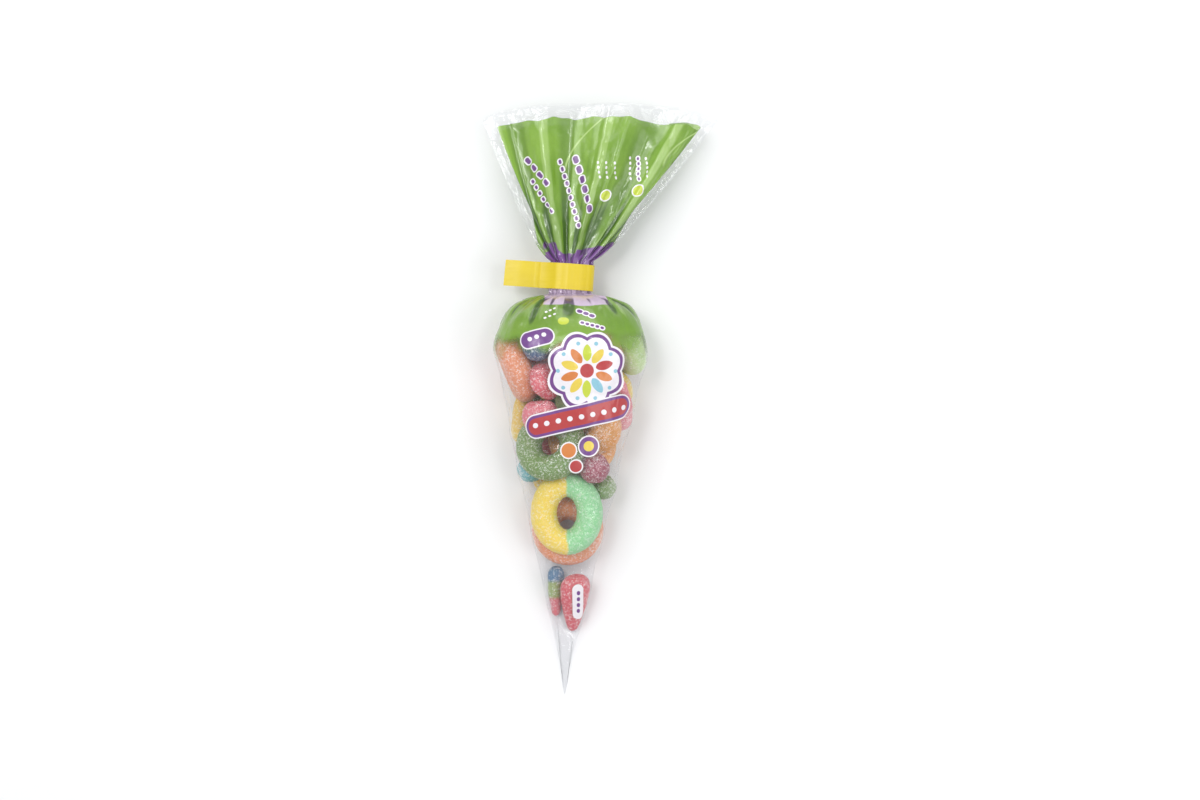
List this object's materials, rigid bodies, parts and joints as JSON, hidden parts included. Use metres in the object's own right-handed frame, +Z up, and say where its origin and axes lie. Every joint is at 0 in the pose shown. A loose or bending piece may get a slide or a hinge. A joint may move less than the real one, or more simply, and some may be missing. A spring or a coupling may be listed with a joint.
{
  "type": "cone bag of sweets",
  "caption": "Pointed clear film bag of assorted sugared gummy sweets, gathered at the neck and closed with a folded strip of tape below a flared, pleated top.",
  "frame": {"origin": "on the table, in the middle of the pressed-flat underside, below the widest section of the bag", "axes": "+Z up from the table, +Y along the bag from its pointed tip towards its open top, +X to the right seen from above with the top away from the viewer"},
  "size_m": [0.1181, 0.3005, 0.054],
  "materials": {
    "film": "clear glossy packaging film, printed in places",
    "tape": "satin adhesive tape",
    "gummy_red": "gummy coated with fine sugar",
    "gummy_three_colour": "gummy coated with fine sugar",
    "gummy_two_colour": "gummy coated with fine sugar",
    "gummy_peach": "gummy coated with fine sugar",
    "gummy_green": "gummy coated with fine sugar",
    "gummy_raspberry": "gummy coated with fine sugar",
    "gummy_teal": "gummy coated with fine sugar",
    "gummy_orange": "gummy coated with fine sugar",
    "gummy_pink": "gummy coated with fine sugar",
    "gummy_yellow": "gummy coated with fine sugar",
    "gummy_blue": "gummy coated with fine sugar",
    "gummy_pale_green": "gummy coated with fine sugar",
    "gummy_brown": "gummy coated with fine sugar"
  },
  "bodies": {
    "root": {"cone_bag": "film", "closing_tape": "tape", "strawberry_tip": "gummy_red", "bottle_low": "gummy_three_colour", "ring_two_colour": "gummy_two_colour", "ring_peach": "gummy_peach", "berry_green": "gummy_green", "berry_raspberry": "gummy_raspberry", "ring_green": "gummy_green", "berry_teal": "gummy_teal", "slice_orange": "gummy_orange", "heart_pink": "gummy_pink", "bottle_yellow": "gummy_yellow", "bottle_pink": "gummy_pink", "berry_orange": "gummy_orange", "heart_red": "gummy_red", "ring_peach_high": "gummy_peach", "berry_blue": "gummy_blue", "ring_pink": "gummy_pink", "ring_pale": "gummy_pale_green", "strawberry_top": "gummy_red", "heart_yellow": "gummy_yellow", "ring_orange": "gummy_orange", "berry_pink": "gummy_pink", "bottle_green": "gummy_green", "slice_red": "gummy_red", "berry_purple": "gummy_raspberry", "ring_red": "gummy_red", "bottle_orange": "gummy_orange", "berry_teal_high": "gummy_teal", "berry_pale": "gummy_pale_green", "bottle_brown": "gummy_brown", "ring_yellow": "gummy_yellow", "berry_red": "gummy_red", "berry_lime": "gummy_green", "heart_orange": "gummy_orange"}
  },
  "joints": []
}
